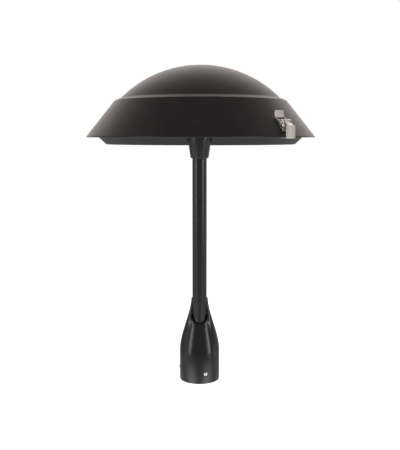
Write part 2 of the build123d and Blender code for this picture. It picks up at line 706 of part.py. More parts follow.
def hinge_bracket():
    axis = (HINGE_R, HINGE_Z)
    low = FLANGE_Z - STRAP_T
    under_bead = RIM_LOW_Z - BEAD_CLEAR
    strap = outline([
        (STRAP_IN_R, FLANGE_Z),
        (FLANGE_R, FLANGE_Z),
        (FLANGE_R + 1, under_bead),
        (RIM_R + BEAD_CLEAR + 1, under_bead),
        (RIM_R + BEAD_CLEAR + 1, low),
        (STRAP_IN_R, low),
    ])
    body = slab(strap, -STRAP_W / 2, STRAP_W / 2)
    post = outline([
        (RIM_R + BEAD_CLEAR + 0.8, low),
        (RIM_R + BEAD_CLEAR + 0.8, HINGE_Z),
        (HINGE_R + KNUCKLE_R, HINGE_Z),
        (HINGE_R + KNUCKLE_R, low + STRAP_T),
        (HINGE_R + KNUCKLE_R - STRAP_T, low),
    ])
    half = HINGE_MID_W / 2
    body = body + slab(post, -half, half) + cross_rod(KNUCKLE_R, axis, -half, half)
    body = body - cross_rod(HINGE_PIN_R, axis, -half - 1, half + 1)
    for y in (-STRAP_SCREW_Y, STRAP_SCREW_Y):
        body = body - rod(M4_R, low - 1, FLANGE_Z + 1, STRAP_SCREW_R, y)
    return at_head(body, HINGE_AZ)


def hinge_bracket_screws():
    low = FLANGE_Z - STRAP_T
    screws = []
    for y in (-STRAP_SCREW_Y, STRAP_SCREW_Y):
        one = cap_screw(M4_R, M4_HEAD_R, M4_HEAD_H, -low, STRAP_T + FLANGE_T, STRAP_SCREW_R, y)
        screws.append(at_head(Rot(180, 0, 0) * one, HINGE_AZ))
    return screws


def hinge_pin():
    end = HINGE_MID_W / 2 + SIDE_GAP + HINGE_SIDE_W + SIDE_GAP
    axis = (HINGE_R, HINGE_Z)
    body = cross_rod(HINGE_PIN_R, axis, -end, end)
    body = body + cross_rod(PIN_HEAD_R, axis, -end - PIN_HEAD_T, -end)
    body = body + cross_rod(PIN_HEAD_R, axis, end, end + PIN_HEAD_T)
    return at_head(body, HINGE_AZ)


def hinge_foot():
    """Point of the skirt's outer face nearest to the hinge axis."""
    out = skirt_distance((HINGE_R, HINGE_Z))
    return on_skirt((HINGE_R, HINGE_Z), 0, -out), out


def rivet_spots():
    """Rivets of the hinge leaf and latch bracket: azimuth and point on the skirt."""
    foot, _ = hinge_foot()
    spots = []
    for up in (LEAF_RIVET_UP, LEAF_S1 - LEAF_EDGE):
        point = on_skirt(foot, up, 0)
        for side in (-1, 0, 1):
            spots.append((HINGE_AZ + degrees(side * LEAF_W * 0.38 / point[0]), point))
    for up in (0, BASE_UP - 6):
        point = on_skirt(latch_foot(), up, 0)
        for side in (-1, 1):
            spots.append((LATCH_AZ + degrees(side * RIVET_EDGE / point[0]), point))
    return spots


def on_rivet(shape, azimuth, point):
    """Shape drawn upright on the origin, set square to the skirt at a point."""
    turn = Rot(0, 90 - degrees(atan2(SKIRT_N[1], SKIRT_N[0])), 0)
    return Rot(0, 0, azimuth) * Pos(point[0], 0, point[1]) * turn * shape


def less_rivet_holes(body):
    """Body round the Z axis with every rivet's hole taken out."""
    hole = rod(RIVET_R, -SHEET_T - LEAF_T, LEAF_T * 2)
    for azimuth, point in rivet_spots():
        body = body - on_rivet(hole, azimuth, point)
    return body


def canopy_rivets():
    tail_low = -SHEET_T - RIVET_TAIL_T
    head = rod(RIVET_HEAD_R, LEAF_T, LEAF_T + RIVET_HEAD_H)
    head = chamfer(head.edges().sort_by(Axis.Z)[-1], RIVET_HEAD_H * 0.6)
    tail = rod(RIVET_HEAD_R * 0.8, tail_low, -SHEET_T - RUN_FIT)
    one = rod(RIVET_R, tail_low, LEAF_T) + head + tail
    return [at_head(on_rivet(one, azimuth, point)) for azimuth, point in rivet_spots()]


def skirt_plate(foot, low, high, thick, width):
    """Plate formed to the skirt's cone, between two heights up the skirt."""
    zone = outline([
        on_skirt(foot, low, -SHEET_T),
        on_skirt(foot, high, -SHEET_T),
        on_skirt(foot, high, 2 * thick),
        on_skirt(foot, low, 2 * thick),
    ])
    return slab(zone, -width / 2, width / 2) & canopy_block(-thick)


def canopy_shell():
    body = canopy_block(0) - canopy_block(SHEET_T)
    body = body + Pos(0, 0, BEAD_Z) * Torus(RIM_R - BEAD_R, BEAD_R)
    return at_head(less_rivet_holes(body))


def hinge_leaf():
    foot, _ = hinge_foot()
    body = skirt_plate(foot, LEAF_S0, LEAF_S1, LEAF_T, LEAF_W)
    axis = (HINGE_R, HINGE_Z)
    root = on_skirt(foot, LEAF_S0 + 3, LEAF_T * 0.5)
    web = tapered_link(KNUCKLE_R, axis, LEAF_T * 1.3, root)
    for side in (-1, 1):
        near = side * (HINGE_MID_W / 2 + SIDE_GAP)
        far = side * (HINGE_MID_W / 2 + SIDE_GAP + HINGE_SIDE_W)
        body = body + slab(web, min(near, far), max(near, far))
    body = body - canopy_block(0)
    body = body - cross_rod(HINGE_PIN_R + RUN_FIT, axis, -LEAF_W, LEAF_W)
    return at_head(less_rivet_holes(Rot(0, 0, HINGE_AZ) * body))


def latch_foot():
    """Point of the skirt's outer face nearest to the lever's pivot."""
    return on_skirt((RIM_R - BEAD_R, BEAD_Z), PIVOT_UP, BEAD_R)


def pivot_point():
    return on_skirt(latch_foot(), 0, PIVOT_OUT)


def claw_point():
    return on_skirt(pivot_point(), CLAW_UP, CLAW_OUT)


def latch_bracket():
    foot = latch_foot()
    body = skirt_plate(foot, -BASE_DOWN, BASE_UP, LEAF_T, 2 * EAR_OUT)
    ear = tapered_link(EAR_ROUND, pivot_point(), EAR_ROUND * 1.01, on_skirt(foot, 0, -2))
    for side in (-1, 1):
        near, far = side * (EAR_OUT - LATCH_T), side * EAR_OUT
        body = body + slab(ear, min(near, far), max(near, far))
    body = body - canopy_block(0)
    body = body - cross_rod(PIVOT_PIN_R, pivot_point(), -EAR_OUT - 1, EAR_OUT + 1)
    return at_head(less_rivet_holes(Rot(0, 0, LATCH_AZ) * body))


def headed_pin(r, point, half):
    """Pin along Y with a flat head at each end, heads outside the half length."""
    body = cross_rod(r, point, -half, half)
    body = body + cross_rod(r * 1.6, point, -half - PIN_HEAD_T, -half)
    return body + cross_rod(r * 1.6, point, half, half + PIN_HEAD_T)


def latch_pivot_pin():
    half = ARM_IN + ARM_T + SIDE_GAP
    return at_head(headed_pin(PIVOT_PIN_R, pivot_point(), half), LATCH_AZ)


def tab_corners(top, lean, half):
    """Waste outside the rounded upper corners of a tab that ends at the top point."""
    block = Box(4 * TAB_CORNER, TAB_CORNER, TAB_CORNER)
    waste = []
    for side in (-1, 1):
        drum = Pos(0, -side * TAB_CORNER / 2, -TAB_CORNER / 2) * Rot(0, 90, 0)
        corner = block - drum * Cylinder(TAB_CORNER, 5 * TAB_CORNER)
        place = Pos(top[0], side * (half - TAB_CORNER / 2), top[1]) * Rot(0, 90 - degrees(lean), 0)
        waste.append(place * Pos(0, 0, ARM_T / 2 - TAB_CORNER / 2) * corner)
    return waste[0] + waste[1]


def latch_lever():
    pivot = pivot_point()
    tab_root = on_skirt(latch_foot(), TAB_UP, TAB_LIFT)
    arm = tapered_link(ARM_ROUND_A, pivot, ARM_T / 2, tab_root)
    arm = arm + tapered_link(ARM_ROUND_A, pivot, ARM_ROUND_B, claw_point())
    outer = ARM_IN + ARM_T
    body = slab(arm, -outer, -ARM_IN) + slab(arm, ARM_IN, outer)
    lean = atan2(SKIRT_UP[1], SKIRT_UP[0]) - radians(TAB_TILT)
    tab_top = (tab_root[0] + TAB_H * cos(lean), tab_root[1] + TAB_H * sin(lean))
    strip = tapered_link(ARM_T / 2 * 1.001, tab_root, ARM_T / 2, tab_top)
    tab = slab(strip, -outer, outer)
    body = body + tab - tab_corners(tab_top, lean, outer)
    body = body - cross_rod(PIVOT_PIN_R + RUN_FIT, pivot, -outer - 1, outer + 1)
    body = body - cross_rod(CLAW_PIN_R, claw_point(), -outer - 1, outer + 1)
    return at_head(body, LATCH_AZ)


def claw_pin():
    return at_head(headed_pin(CLAW_PIN_R, claw_point(), ARM_IN + ARM_T), LATCH_AZ)


def latch_claw():
    knuckle = claw_point()
    half_t = LATCH_T / 2
    lip_top = FLANGE_Z - CLAW_GAP
    bend = (CLAW_PLATE_R, pivot_point()[1] + CLAW_BEND_UP)
    low = (CLAW_PLATE_R, lip_top - half_t)
    tip = (CLAW_REACH_R, lip_top - half_t)
    neck = tapered_link(half_t * 1.001, knuckle, half_t, bend)
    hook = tapered_link(half_t * 1.001, bend, half_t, low)
    hook = hook + tapered_link(half_t * 1.001, low, half_t, tip)
    outer = ARM_IN + ARM_T
    body = slab(neck, -CLAW_W / 2, CLAW_W / 2) + slab(hook, -outer, outer)
    body = body + cross_rod(CLAW_KNUCKLE_R, knuckle, -CLAW_W / 2, CLAW_W / 2)
    body = body - cross_rod(CLAW_PIN_R + RUN_FIT, knuckle, -CLAW_W, CLAW_W)
    return at_head(body, LATCH_AZ)


NODES = (
    post_fitter,
    fitter_set_screws,
    stem_tube,
    stem_grub_screws,
    arm_collar,
    collar_lock_screws,
    collar_bolts,
    cable_grommet,
    tray_housing,
    rim_gasket,
    glass_gasket,
    lens_glass,
    glass_retainer,
    retainer_screws,
    gear_plate,
    gear_plate_screws,
    heat_sink,
    gear_part_screws,
    led_board,
    led_board_screws,
    led_lenses,
    reflector,
    driver_box,
    terminal_block,
    hinge_bracket,
    hinge_bracket_screws,
    hinge_pin,
    canopy_shell,
    hinge_leaf,
    canopy_rivets,
    latch_bracket,
    latch_pivot_pin,
    latch_lever,
    claw_pin,
    latch_claw,
)

os.makedirs("parts", exist_ok=True)
for node in NODES:
    made = node()
    solids = made if isinstance(made, list) else [made]
    kept = [solid for shape in solids for solid in shape.solids()]
    whole = kept[0] if len(kept) == 1 else Compound(children=kept)
    whole.label = node.__name__
    export_step(whole, f"parts/{node.__name__}.step")
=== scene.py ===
import json
import logging
from dataclasses import dataclass, field
from enum import Enum
from math import acos, asin, atan2, cos, degrees, exp, hypot, radians, sin, tan

import bpy
from mathutils import Matrix, Vector


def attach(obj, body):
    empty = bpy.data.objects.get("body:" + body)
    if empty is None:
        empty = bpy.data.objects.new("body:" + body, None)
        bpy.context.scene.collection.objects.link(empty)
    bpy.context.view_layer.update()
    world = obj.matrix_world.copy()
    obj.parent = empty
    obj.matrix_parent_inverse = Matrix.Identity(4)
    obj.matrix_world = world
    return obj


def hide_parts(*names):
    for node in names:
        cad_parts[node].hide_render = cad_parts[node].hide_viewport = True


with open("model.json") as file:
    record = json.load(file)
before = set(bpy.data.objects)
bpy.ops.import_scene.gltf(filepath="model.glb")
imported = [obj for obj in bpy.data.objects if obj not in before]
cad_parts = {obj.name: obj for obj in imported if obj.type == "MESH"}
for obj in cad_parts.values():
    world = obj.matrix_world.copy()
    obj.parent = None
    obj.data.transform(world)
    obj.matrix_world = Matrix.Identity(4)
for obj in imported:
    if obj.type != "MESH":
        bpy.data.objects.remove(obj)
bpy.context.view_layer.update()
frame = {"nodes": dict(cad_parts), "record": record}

LOG = logging.getLogger("street_light")


class Grain(Enum):
    """Direction in which a sheet was brushed or rolled."""

    ALONG_X = (0.06, 1.0, 1.0)
    ALONG_Z = (1.0, 1.0, 0.06)


def new_group(name: str, inputs: dict[str, float], outputs: dict[str, str]) -> bpy.types.NodeTree:
    """Make an empty shader node group with float inputs.

    Args:
        name: Name of the group.
        inputs: Default value of each float input by name.
        outputs: Socket type of each output by name.

    Returns:
        The group, with its input and output nodes placed.
    """
    group = bpy.data.node_groups.new(name, "ShaderNodeTree")
    for label, value in inputs.items():
        socket = group.interface.new_socket(name=label, in_out="INPUT", socket_type="NodeSocketFloat")
        socket.default_value = value
    for label, kind in outputs.items():
        group.interface.new_socket(name=label, in_out="OUTPUT", socket_type=kind)
    group.nodes.new("NodeGroupInput").name = "in"
    group.nodes.new("NodeGroupOutput").name = "out"
    return group


def sum_up(
    tree: bpy.types.NodeTree, operation: str, *values: bpy.types.NodeSocket | float
) -> bpy.types.NodeSocket:
    """Add a maths node.

    Args:
        tree: Where the node goes.
        operation: What it works out.
        values: Its inputs in order, as sockets or constants.

    Returns:
        Its output.
    """
    node = tree.nodes.new("ShaderNodeMath")
    node.operation = operation
    for socket, value in zip(node.inputs, values):
        if isinstance(value, float):
            socket.default_value = value
        else:
            tree.links.new(value, socket)
    return node.outputs[0]


@dataclass
class Effects:
    """Node groups that several finishes share."""

    stipple: bpy.types.NodeTree = field(init=False)
    brushing: bpy.types.NodeTree = field(init=False)
    # Group for the dusting and the painted sheen on faces that look up.
    dust_and_sheen: bpy.types.NodeTree = field(init=False)

    def __post_init__(self) -> None:
        """Build the three groups once."""
        self.stipple = self._stipple()
        self.brushing = self._brushing()
        self.dust_and_sheen = self._dust_and_sheen()

    def _swing_gloss(self, group: bpy.types.NodeTree, noise: bpy.types.Node) -> None:
        """Let a noise swing a group's roughness about its gloss."""
        given = group.nodes["in"].outputs
        centred = sum_up(group, "SUBTRACT", noise.outputs["Fac"], 0.5)
        swung = sum_up(group, "MULTIPLY_ADD", centred, given["Swing"], given["Gloss"])
        group.links.new(swung, group.nodes["out"].inputs["Roughness"])

    def _stipple(self) -> bpy.types.NodeTree:
        """Fine orange-peel texture of a baked powder coat, with a slow change of gloss."""
        group = new_group(
            "powder_stipple",
            {"Grain": 900.0, "Patch": 9.0, "Gloss": 0.4, "Swing": 0.06},
            {"Height": "NodeSocketFloat", "Roughness": "NodeSocketFloat"},
        )
        nodes, links = group.nodes, group.links
        place = nodes.new("ShaderNodeTexCoord")
        grain = nodes.new("ShaderNodeTexNoise")
        grain.inputs["Detail"].default_value = 3.0
        patch = nodes.new("ShaderNodeTexNoise")
        patch.inputs["Detail"].default_value = 2.0
        links.new(place.outputs["Object"], grain.inputs["Vector"])
        links.new(place.outputs["Object"], patch.inputs["Vector"])
        links.new(nodes["in"].outputs["Grain"], grain.inputs["Scale"])
        links.new(nodes["in"].outputs["Patch"], patch.inputs["Scale"])
        links.new(grain.outputs["Fac"], nodes["out"].inputs["Height"])
        self._swing_gloss(group, patch)
        return group

    def _brushing(self) -> bpy.types.NodeTree:
        """Long fine scratches of brushed or rolled metal."""
        group = new_group(
            "brushing",
            {"X": 1.0, "Y": 1.0, "Z": 1.0, "Lines": 1400.0, "Gloss": 0.3, "Swing": 0.2},
            {"Height": "NodeSocketFloat", "Roughness": "NodeSocketFloat"},
        )
        nodes, links = group.nodes, group.links
        place = nodes.new("ShaderNodeTexCoord")
        stretch = nodes.new("ShaderNodeVectorMath")
        stretch.operation = "MULTIPLY"
        factors = nodes.new("ShaderNodeCombineXYZ")
        for label in "XYZ":
            links.new(nodes["in"].outputs[label], factors.inputs[label])
        links.new(place.outputs["Object"], stretch.inputs[0])
        links.new(factors.outputs[0], stretch.inputs[1])
        lines = nodes.new("ShaderNodeTexNoise")
        lines.inputs["Detail"].default_value = 4.0
        links.new(stretch.outputs[0], lines.inputs["Vector"])
        links.new(nodes["in"].outputs["Lines"], lines.inputs["Scale"])
        links.new(lines.outputs["Fac"], nodes["out"].inputs["Height"])
        self._swing_gloss(group, lines)
        return group

    def _dust_and_sheen(self) -> bpy.types.NodeTree:
        """Lighter, warmer patches on faces that look up: a thin dusting, and a painted sheen that stands
        in for light from above.
        """
        group = new_group("dust_and_top_sheen", {"Amount": 0.1, "Size": 30.0}, {"Mask": "NodeSocketFloat"})
        nodes, links = group.nodes, group.links
        place = nodes.new("ShaderNodeTexCoord")
        lie = nodes.new("ShaderNodeNewGeometry")
        split = nodes.new("ShaderNodeSeparateXYZ")
        links.new(lie.outputs["Normal"], split.inputs[0])
        up = nodes.new("ShaderNodeMapRange")
        up.inputs["From Min"].default_value = 0.2
        up.inputs["From Max"].default_value = 1.0
        links.new(split.outputs["Z"], up.inputs["Value"])
        cloud = nodes.new("ShaderNodeTexNoise")
        cloud.inputs["Detail"].default_value = 5.0
        links.new(place.outputs["Object"], cloud.inputs["Vector"])
        links.new(nodes["in"].outputs["Size"], cloud.inputs["Scale"])
        both = sum_up(group, "MULTIPLY", up.outputs["Result"], cloud.outputs["Fac"])
        final = sum_up(group, "MULTIPLY", both, nodes["in"].outputs["Amount"])
        links.new(final, nodes["out"].inputs["Mask"])
        return group


@dataclass(frozen=True)
class Finish:
    """A named surface finish.

    Attributes:
        name: Name of the material.
        colour: Base colour, linear.
        gloss: Roughness.
        metal: How metallic it is, from 0 to 1.
    """

    name: str
    colour: tuple[float, float, float]
    gloss: float = 0.5
    metal: float = 0.0

    def _start(self) -> tuple[bpy.types.Material, bpy.types.Node]:
        """Make the material and its shader."""
        material = bpy.data.materials.new(self.name)
        material.use_nodes = True
        shader = material.node_tree.nodes["Principled BSDF"]
        shader.inputs["Base Color"].default_value = (*self.colour, 1.0)
        shader.inputs["Roughness"].default_value = self.gloss
        shader.inputs["Metallic"].default_value = self.metal
        return material, shader

    def _surface(
        self,
        material: bpy.types.Material,
        tree: bpy.types.NodeTree,
        settings: dict[str, float],
        bump: float = 0.0,
        depth: float = 0.0,
    ) -> None:
        """Drive a material's roughness, and its bump if it has one, by a shared group.

        Args:
            material: The material.
            tree: The group.
            settings: Values of the group's inputs by name.
            bump: Strength of the bump.
            depth: Depth of the bump in metres.
        """
        nodes, links = material.node_tree.nodes, material.node_tree.links
        shader = nodes["Principled BSDF"]
        effect = nodes.new("ShaderNodeGroup")
        effect.node_tree = tree
        for label, value in settings.items():
            effect.inputs[label].default_value = value
        links.new(effect.outputs["Roughness"], shader.inputs["Roughness"])
        if bump:
            relief = nodes.new("ShaderNodeBump")
            relief.inputs["Strength"].default_value = bump
            relief.inputs["Distance"].default_value = depth
            links.new(effect.outputs["Height"], relief.inputs["Height"])
            links.new(relief.outputs["Normal"], shader.inputs["Normal"])

    def build(self, effects: Effects) -> bpy.types.Material:
        """Make the material.

        Args:
            effects: The shared node groups.

        Returns:
            The material.
        """
        raise NotImplementedError


@dataclass(frozen=True)
class PowderCoat(Finish):
    """Baked powder coat with a fine stipple, and a thin dusting with a painted sheen on faces that look
    up.
    """

    stipple_depth: float = 0.00004
    grain: float = 900.0
    bump: float = 0.5
    # How strongly faces that look up get the dusting and painted sheen, and its warm grey.
    dust_and_sheen: float = 0.10
    dust_and_sheen_colour: tuple[float, float, float] = (0.30, 0.285, 0.265)

    def build(self, effects: Effects) -> bpy.types.Material:
        """Make the material from the stipple group and the group of dusting and painted sheen."""
        material, shader = self._start()
        nodes, links = material.node_tree.nodes, material.node_tree.links
        settings = {"Grain": self.grain, "Gloss": self.gloss}
        self._surface(material, effects.stipple, settings, self.bump, self.stipple_depth)
        dust_and_sheen = nodes.new("ShaderNodeGroup")
        dust_and_sheen.node_tree = effects.dust_and_sheen
        dust_and_sheen.inputs["Amount"].default_value = self.dust_and_sheen
        # Faces that look up are mixed towards a warm grey: a dusting, and a painted sheen that makes the
        # top lighter.
        tint = nodes.new("ShaderNodeMix")
        tint.data_type = "RGBA"
        tint.inputs["A"].default_value = (*self.colour, 1.0)
        tint.inputs["B"].default_value = (*self.dust_and_sheen_colour, 1.0)
        links.new(dust_and_sheen.outputs["Mask"], tint.inputs["Factor"])
        links.new(tint.outputs["Result"], shader.inputs["Base Color"])
        return material


@dataclass(frozen=True)
class BareMetal(Finish):
    """Brushed, rolled or plated metal."""

    metal: float = 1.0
    grain: Grain = Grain.ALONG_Z
    lines: float = 1400.0
    swing: float = 0.2
    bump: float = 0.4
    depth: float = 0.00002

    def build(self, effects: Effects) -> bpy.types.Material:
        """Make the material from the brushing group."""
        material, _ = self._start()
        settings = dict(zip("XYZ", self.grain.value))
        settings |= {"Lines": self.lines, "Gloss": self.gloss, "Swing": self.swing}
        self._surface(material, effects.brushing, settings, self.bump, self.depth)
        return material


@dataclass(frozen=True)
class Moulded(Finish):
    """Moulded plastic, rubber or matt paint with a fine surface."""

    grain: float = 1500.0
    swing: float = 0.08
    bump: float = 0.3
    depth: float = 0.00003

    def build(self, effects: Effects) -> bpy.types.Material:
        """Make the material from the stipple group."""
        material, _ = self._start()
        settings = {"Grain": self.grain, "Gloss": self.gloss, "Swing": self.swing}
        self._surface(material, effects.stipple, settings, self.bump, self.depth)
        return material


@dataclass(frozen=True)
class ClearGlass(Finish):
    """Clear pane or optic with a faint change of gloss."""

    index: float = 1.5
    swing: float = 0.02

    def build(self, effects: Effects) -> bpy.types.Material:
        """Make the material from the stipple group."""
        material, shader = self._start()
        shader.inputs["Transmission Weight"].default_value = 1.0
        shader.inputs["IOR"].default_value = self.index
        self._surface(material, effects.stipple, {"Gloss": self.gloss, "Swing": self.swing})
        return material


class Coat(Enum):
    """The finishes of the light, by what carries them."""

    BLACK = PowderCoat("satin_black_powder_coat", (0.0098, 0.0090, 0.0091), 0.40)
    SMOOTH = PowderCoat(
        "smooth_black_powder_coat", (0.0088, 0.0084, 0.0092), 0.28, grain=500.0, dust_and_sheen=0.05
    )
    STAINLESS = BareMetal("pressed_stainless", (0.76, 0.71, 0.645), 0.34)
    PIN = BareMetal("turned_stainless", (0.74, 0.72, 0.69), 0.22, swing=0.1)
    ZINC = BareMetal("zinc_plate", (0.62, 0.63, 0.64), 0.28, swing=0.3)
    ALUMINIUM = BareMetal("mill_aluminium", (0.60, 0.61, 0.62), 0.36, grain=Grain.ALONG_X)
    RUBBER = Moulded("black_rubber", (0.018, 0.018, 0.018), 0.75)
    GLASS = ClearGlass("clear_toughened_glass", (0.93, 0.98, 0.96), 0.02)
    BOARD = Moulded("white_board_mask", (0.78, 0.79, 0.77), 0.42)
    OPTIC = ClearGlass("moulded_optic", (0.98, 0.96, 0.88), 0.06)
    REFLECTOR = Moulded("white_semi_matt_paint", (0.82, 0.82, 0.80), 0.45)
    CASE = Moulded("moulded_driver_case", (0.70, 0.70, 0.68), 0.5)
    TERMINAL = Moulded("moulded_terminal", (0.66, 0.66, 0.62), 0.45)


SLOT_COATS = {
    "black_coat": Coat.BLACK,
    "stainless": Coat.STAINLESS,
    "zinc_screws": Coat.ZINC,
    "bare_aluminium": Coat.ALUMINIUM,
    "rubber": Coat.RUBBER,
    "clear_glass": Coat.GLASS,
    "board_white": Coat.BOARD,
    "led_optic": Coat.OPTIC,
    "reflector_white": Coat.REFLECTOR,
    "driver_case": Coat.CASE,
    "terminal_plastic": Coat.TERMINAL,
}


@dataclass
class Palette:
    """Every finish made into a material once."""

    effects: Effects = field(default_factory=Effects)
    materials: dict[Coat, bpy.types.Material] = field(default_factory=dict)

    def get(self, coat: Coat) -> bpy.types.Material:
        """Return the material of a finish, made on first use."""
        if coat not in self.materials:
            self.materials[coat] = coat.value.build(self.effects)
        return self.materials[coat]

    def put(self, piece: bpy.types.Object, coat: Coat) -> None:
        """Give a piece one finish all over."""
        piece.data.materials.clear()
        piece.data.materials.append(self.get(coat))


NODE_COATS = {"stem_tube": Coat.SMOOTH}


def dress_frame(palette: Palette) -> None:
    """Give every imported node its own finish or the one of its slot.

    Args:
        palette: The finishes.
    """
    slots = {part["node"]: part["material_slot"] for part in frame["record"]["subparts"]}
    for name, piece in frame["nodes"].items():
        for place in piece.material_slots:
            place.material = palette.get(NODE_COATS.get(name, SLOT_COATS[slots[name]]))
        LOG.info("dressed %s", name)


Outline = list[tuple[float, float]]


def arc(centre: tuple[float, float], radius: float, start: float, end: float, steps: int) -> Outline:
    """Make points along an arc.

    Args:
        centre: Radius and height of the arc's centre.
        radius: Radius of the arc.
        start: Angle of the first point above the outward direction, in degrees.
        end: Angle of the last point.
        steps: How many steps the arc has.

    Returns:
        The points.
    """
    turns = [radians(start + (end - start) * i / steps) for i in range(steps + 1)]
    return [(centre[0] + radius * cos(t), centre[1] + radius * sin(t)) for t in turns]


def eased(points: Outline, radius: float, steps: int = 5) -> Outline:
    """Turn every corner between an outline's ends by a small curve.

    Args:
        points: The outline's corners.
        radius: How round each corner gets.
        steps: How many steps each curve has.

    Returns:
        The outline with its curves.
    """
    line = [points[0]]
    for before, corner, after in zip(points, points[1:], points[2:]):
        middle = Vector(corner)
        back, ahead = Vector(before) - middle, Vector(after) - middle
        reach = min(radius / tan(back.angle(ahead) / 2), 0.45 * back.length, 0.45 * ahead.length)
        start = middle + back.normalized() * reach
        end = middle + ahead.normalized() * reach
        for i in range(steps + 1):
            t = i / steps
            point = start * (1 - t) ** 2 + middle * 2 * t * (1 - t) + end * t * t
            line.append((point.x, point.y))
    return line + [points[-1]]


def choose(piece: bpy.types.Object) -> None:
    """Select one object alone and make it the active one."""
    bpy.ops.object.select_all(action="DESELECT")
    piece.select_set(True)
    bpy.context.view_layer.objects.active = piece


def settle(piece: bpy.types.Object, place: Matrix, angle: float = 35.0) -> None:
    """Put a piece's place into its mesh and smooth its shading.

    Args:
        piece: The piece, still at its first place.
        place: Where it goes from there.
        angle: Edges sharper than this stay sharp, in degrees.
    """
    piece.matrix_world = place @ piece.matrix_world
    choose(piece)
    bpy.ops.object.transform_apply(location=True, rotation=True, scale=True)
    bpy.ops.object.shade_smooth_by_angle(angle=radians(angle))


def spun(name: str, line: Outline, sides: int = 192, loop: bool = False) -> bpy.types.Object:
    """Turn a piece about the Z axis from its outline.

    Args:
        name: Name of the piece.
        line: Its (radius, height) points, none of them on the axis.
        sides: How many steps the turn has.
        loop: Whether the outline closes on itself, so that the middle stays open.

    Returns:
        The piece.
    """
    radius, height = line[0]
    bpy.ops.object.select_all(action="DESELECT")
    bpy.ops.mesh.primitive_circle_add(vertices=sides, radius=radius, location=(0, 0, height))
    piece = bpy.context.object
    piece.name = name
    bpy.ops.object.mode_set(mode="EDIT")
    bpy.ops.mesh.select_all(action="SELECT")
    for r, z in line[1:] + (line[:1] if loop else []):
        bpy.ops.mesh.extrude_region_move(TRANSFORM_OT_translate={"value": (0, 0, z - height)})
        scale = r / radius
        bpy.ops.transform.resize(value=(scale, scale, 1), center_override=(0, 0, z))
        radius, height = r, z
    if not loop:
        close_over_axis()
        bpy.ops.mesh.select_all(action="DESELECT")
        bpy.ops.object.mode_set(mode="OBJECT")
        for vertex in piece.data.vertices[:sides]:
            vertex.select = True
        bpy.ops.object.mode_set(mode="EDIT")
        close_over_axis()
    bpy.ops.mesh.select_all(action="SELECT")
    bpy.ops.mesh.remove_doubles(threshold=0.0000005)
    bpy.ops.mesh.normals_make_consistent(inside=False)
    bpy.ops.object.mode_set(mode="OBJECT")
    return piece


def close_over_axis() -> None:
    """Close the selected ring to one point in its middle."""
    bpy.ops.mesh.extrude_region_move()
    bpy.ops.mesh.merge(type="CENTER")


def softened(node: str, name: str, edge: float, angle: float = 35.0) -> bpy.types.Object:
    """Start a piece from a copy of a node and round its sharp edges.

    Args:
        node: The node whose form it has.
        name: Name of the piece.
        edge: How wide the rounding of an edge is.
        angle: Edges sharper than this are rounded, in degrees.

    Returns:
        The piece.
    """
    piece = bpy.data.objects.new(name, frame["nodes"][node].data.copy())
    bpy.context.collection.objects.link(piece)
    choose(piece)
    bpy.ops.object.mode_set(mode="EDIT")
    bpy.ops.mesh.select_all(action="SELECT")
    bpy.ops.mesh.customdata_custom_splitnormals_clear()
    bpy.ops.mesh.remove_doubles(threshold=0.000001)
    bpy.ops.mesh.dissolve_limited(angle_limit=radians(0.5))
    bpy.ops.object.mode_set(mode="OBJECT")
    bevel = piece.modifiers.new("edge", "BEVEL")
    bevel.width = edge
    bevel.segments = 3
    bevel.limit_method = "ANGLE"
    bevel.angle_limit = radians(angle)
    bpy.ops.object.modifier_apply(modifier=bevel.name)
    settle(piece, Matrix.Identity(4), angle)
    return piece


def joined(name: str, parts: list[bpy.types.Object]) -> bpy.types.Object:
    """Make several objects one piece."""
    choose(parts[0])
    for part in parts:
        part.select_set(True)
    bpy.ops.object.join()
    piece = bpy.context.object
    piece.name = name
    return piece


def copies(model: bpy.types.Object, name: str, places: list[Matrix]) -> bpy.types.Object:
    """Set copies of a finished model at several places as one piece.

    Args:
        model: The model, at the origin.
        name: Name of the piece.
        places: Where each copy goes.

    Returns:
        The piece.
    """
    parts = []
    for place in places:
        choose(model)
        bpy.ops.object.duplicate()
        part = bpy.context.object
        settle(part, place)
        parts.append(part)
    bpy.data.objects.remove(model)
    return joined(name, parts)


